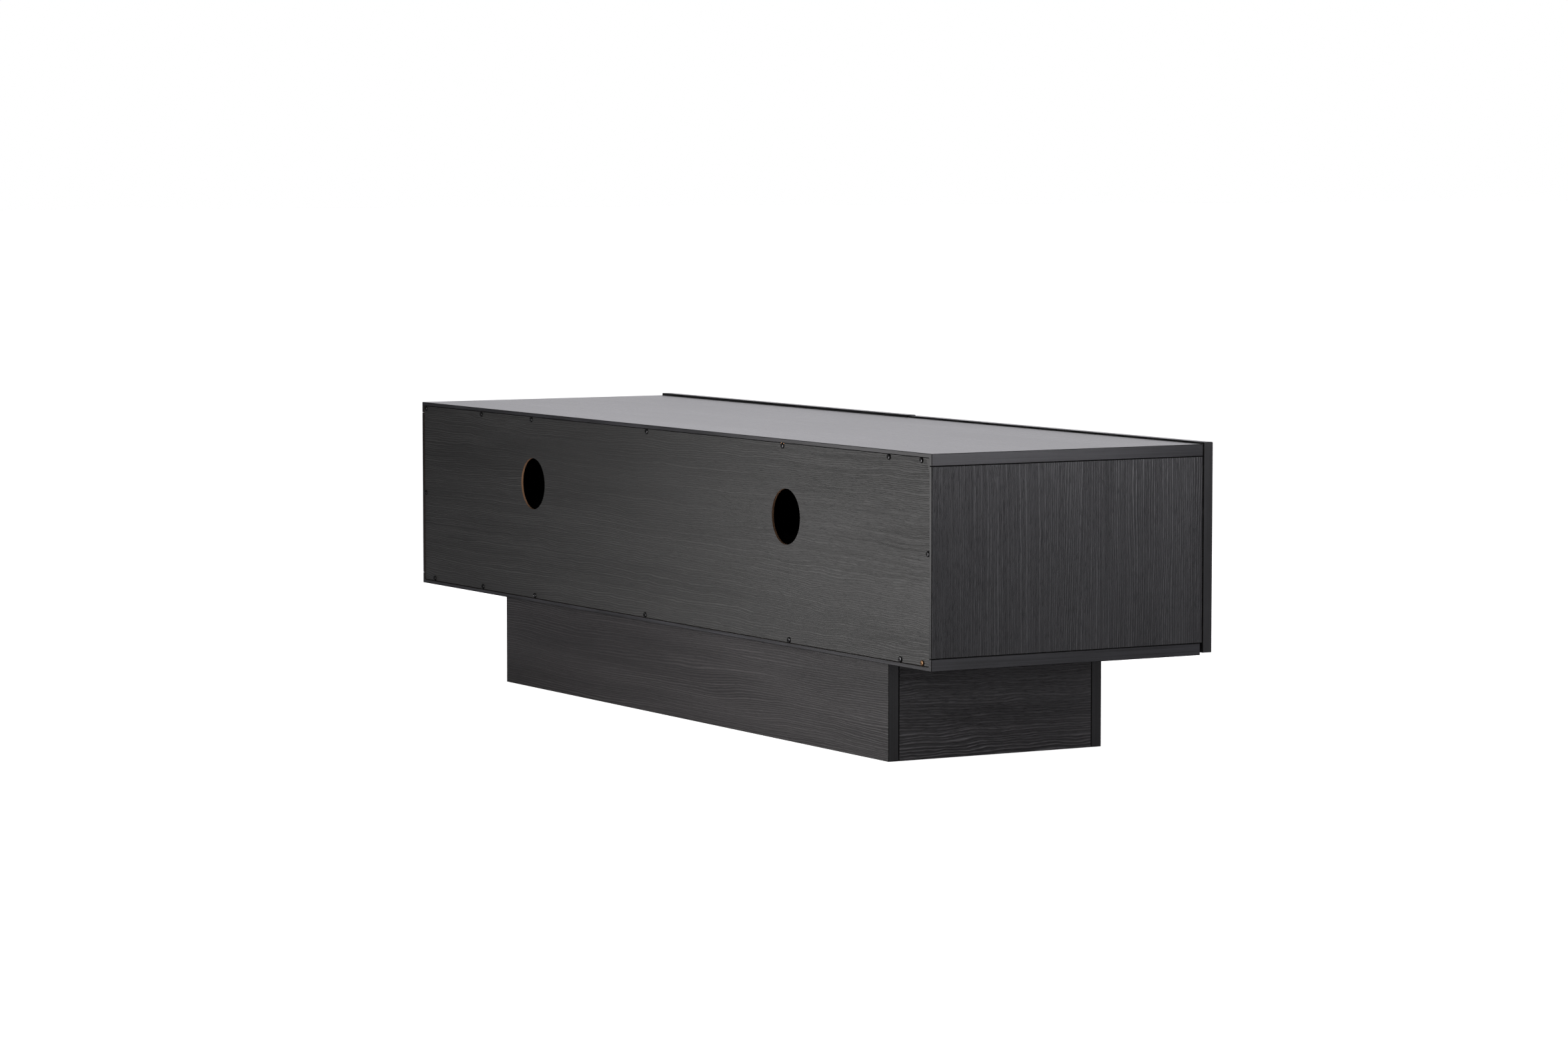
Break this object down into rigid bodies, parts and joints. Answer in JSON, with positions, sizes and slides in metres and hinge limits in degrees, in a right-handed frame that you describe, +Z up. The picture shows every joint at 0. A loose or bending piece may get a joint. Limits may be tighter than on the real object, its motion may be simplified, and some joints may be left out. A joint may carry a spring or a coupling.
{
  "type": "dresser with drawers",
  "caption": "Long low black wood-grain cabinet on a recessed plinth, with wide handle-less drawers and round cable holes in a screwed-on back panel.",
  "frame": {"origin": "middle of the overall box, at floor level", "axes": "+Z up, the drawer fronts face -Y, the back panel faces +Y, +X runs to the right as seen from the front"},
  "size_m": [1.5, 0.439, 0.4239],
  "materials": {
    "top_foil": "satin black foil with fine lengthwise grain",
    "carcass_foil": "matt black foil with embossed wood grain",
    "front_foil": "matt black foil with embossed wood grain",
    "back_sheet": "thin fibreboard with embossed black wood-grain face",
    "plinth_foil": "matt black foil with deep horizontal grain",
    "drawer_foil": "smooth dark grey foil",
    "raw_wood": "planed softwood",
    "black_screw": "black-oxide pan-head screws",
    "runner_steel": "bright zinc-plated steel",
    "latch_plastic": "dark grey moulded plastic"
  },
  "bodies": {
    "cabinet": {"back_panel": "back_sheet", "back_panel_screw_01": "black_screw", "back_panel_screw_02": "black_screw", "back_panel_screw_03": "black_screw", "back_panel_screw_04": "black_screw", "back_panel_screw_05": "black_screw", "back_panel_screw_06": "black_screw", "back_panel_screw_07": "black_screw", "back_panel_screw_08": "black_screw", "back_panel_screw_09": "black_screw", "back_panel_screw_10": "black_screw", "back_panel_screw_11": "black_screw", "back_panel_screw_12": "black_screw", "back_panel_screw_13": "black_screw", "back_panel_screw_14": "black_screw", "back_panel_screw_15": "black_screw", "back_panel_screw_16": "black_screw", "bottom_panel": "carcass_foil", "centre_partition": "carcass_foil", "left_drawer_runner_cabinet_member_left": "runner_steel", "left_drawer_runner_cabinet_member_right": "runner_steel", "left_push_latch_housing": "latch_plastic", "plinth_back_board": "plinth_foil", "plinth_corner_block_back_left": "raw_wood", "plinth_corner_block_back_right": "raw_wood", "plinth_corner_block_front_left": "raw_wood", "plinth_corner_block_front_right": "raw_wood", "plinth_cross_brace": "plinth_foil", "plinth_end_board_left": "plinth_foil", "plinth_end_board_right": "plinth_foil", "plinth_front_board": "plinth_foil", "right_drawer_runner_cabinet_member_left": "runner_steel", "right_drawer_runner_cabinet_member_right": "runner_steel", "right_push_latch_housing": "latch_plastic", "side_panel_left": "carcass_foil", "side_panel_right": "carcass_foil", "top_panel": "top_foil"},
    "left_drawer": {"left_drawer_back": "drawer_foil", "left_drawer_bottom": "drawer_foil", "left_drawer_front": "front_foil", "left_drawer_runner_drawer_member_left": "runner_steel", "left_drawer_runner_drawer_member_right": "runner_steel", "left_drawer_side_left": "drawer_foil", "left_drawer_side_right": "drawer_foil"},
    "left_middle_runners": {"left_drawer_runner_middle_member_left": "runner_steel", "left_drawer_runner_middle_member_right": "runner_steel"},
    "left_latch_plunger": {"left_push_latch_plunger": "latch_plastic"},
    "right_drawer": {"right_drawer_back": "drawer_foil", "right_drawer_bottom": "drawer_foil", "right_drawer_front": "front_foil", "right_drawer_runner_drawer_member_left": "runner_steel", "right_drawer_runner_drawer_member_right": "runner_steel", "right_drawer_side_left": "drawer_foil", "right_drawer_side_right": "drawer_foil"},
    "right_middle_runners": {"right_drawer_runner_middle_member_left": "runner_steel", "right_drawer_runner_middle_member_right": "runner_steel"},
    "right_latch_plunger": {"right_push_latch_plunger": "latch_plastic"}
  },
  "joints": [
    {"name": "left_drawer_slide", "type": "slide", "parent": "cabinet", "child": "left_drawer", "axis": [0, -1, 0], "range_m": [0, 0.34]},
    {"name": "left_runner_slide", "type": "slide", "parent": "cabinet", "child": "left_middle_runners", "axis": [0, -1, 0], "range_m": [0, 0.17]},
    {"name": "left_plunger_slide", "type": "slide", "parent": "cabinet", "child": "left_latch_plunger", "axis": [0, -1, 0], "range_m": [0, 0.034]},
    {"name": "right_drawer_slide", "type": "slide", "parent": "cabinet", "child": "right_drawer", "axis": [0, -1, 0], "range_m": [0, 0.34]},
    {"name": "right_runner_slide", "type": "slide", "parent": "cabinet", "child": "right_middle_runners", "axis": [0, -1, 0], "range_m": [0, 0.17]},
    {"name": "right_plunger_slide", "type": "slide", "parent": "cabinet", "child": "right_latch_plunger", "axis": [0, -1, 0], "range_m": [0, 0.034]}
  ],
  "couplings": [
    {"joint": "left_runner_slide", "follows": "left_drawer_slide", "ratio": 0.5},
    {"joint": "left_plunger_slide", "follows": "left_drawer_slide", "ratio": 0.1},
    {"joint": "right_runner_slide", "follows": "right_drawer_slide", "ratio": 0.5},
    {"joint": "right_plunger_slide", "follows": "right_drawer_slide", "ratio": 0.1}
  ]
}
